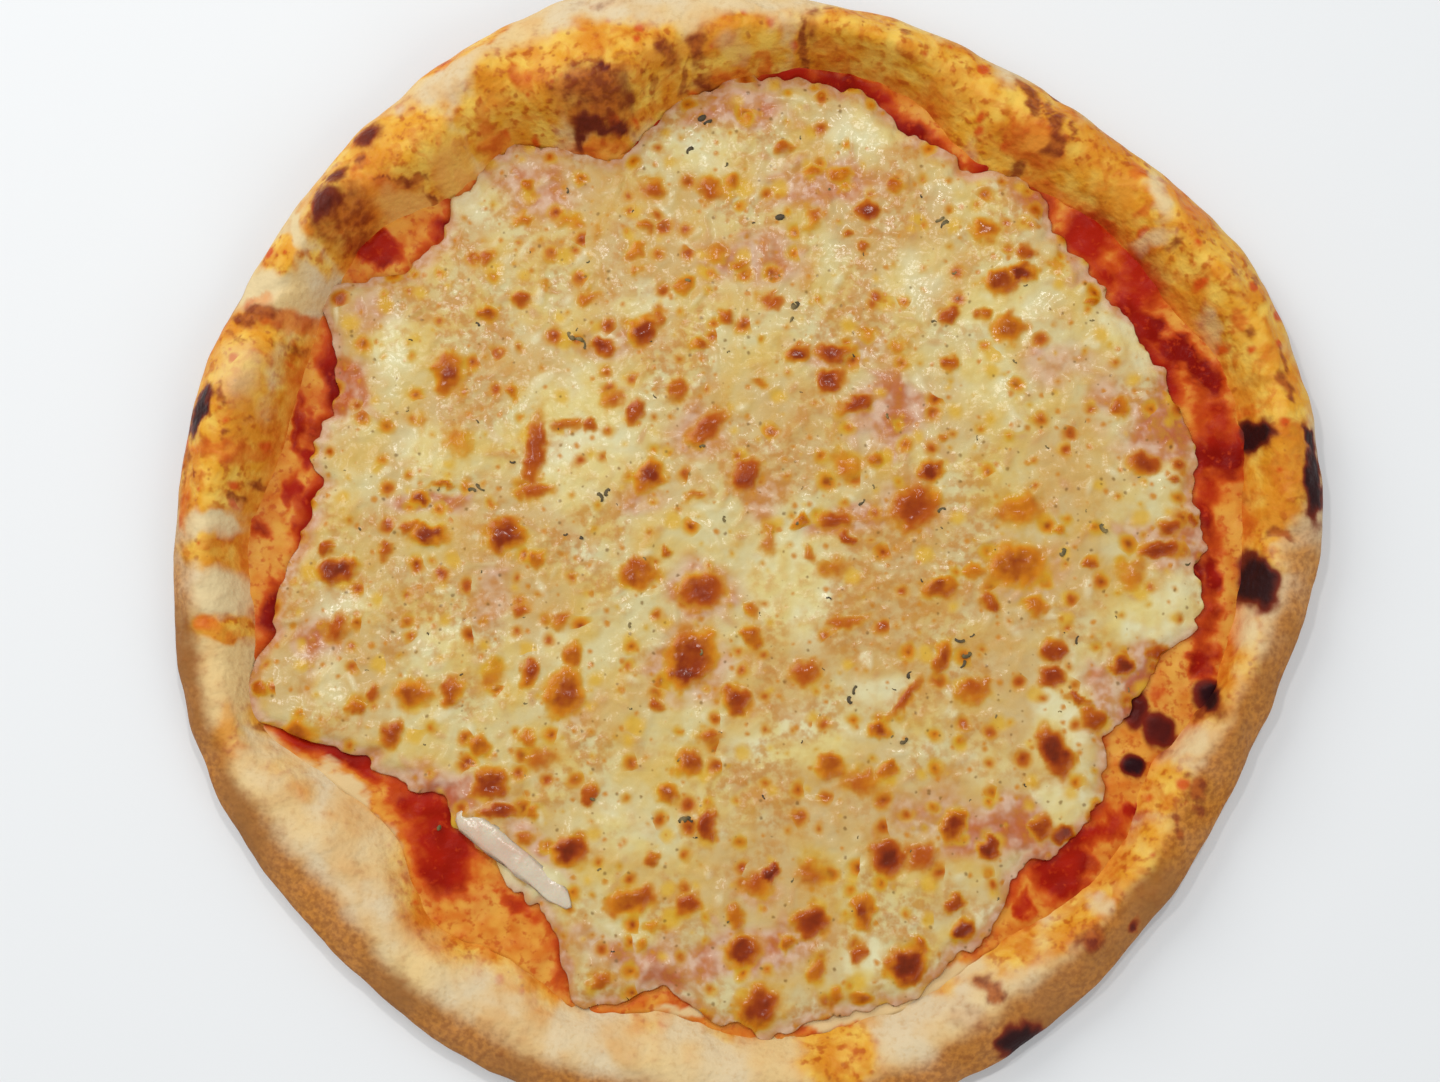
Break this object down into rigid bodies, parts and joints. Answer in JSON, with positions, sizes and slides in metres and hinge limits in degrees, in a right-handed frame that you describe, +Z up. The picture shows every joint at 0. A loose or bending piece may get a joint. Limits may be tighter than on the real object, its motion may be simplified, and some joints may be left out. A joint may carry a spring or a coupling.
{
  "type": "cheese pizza",
  "caption": "Round baked cheese pizza with a puffed, blistered rim, tomato sauce showing at the edge and a sheet of melted cheese with toasted blisters and dried herbs",
  "frame": {"origin": "centre of the underside, on the surface that the pizza rests on", "axes": "+Z up through the pizza's thickness, +X to the right and +Y to the top as seen from above"},
  "size_m": [0.3017, 0.2993, 0.0259],
  "materials": {
    "crust": "baked wheat dough, matt with golden, brown and charred places",
    "tomato_sauce": "wet cooked tomato sauce",
    "melted_cheese": "melted and toasted cheese, a little oily"
  },
  "bodies": {
    "root": {"crust": "crust", "tomato_sauce": "tomato_sauce", "melted_cheese": "melted_cheese"}
  },
  "joints": []
}
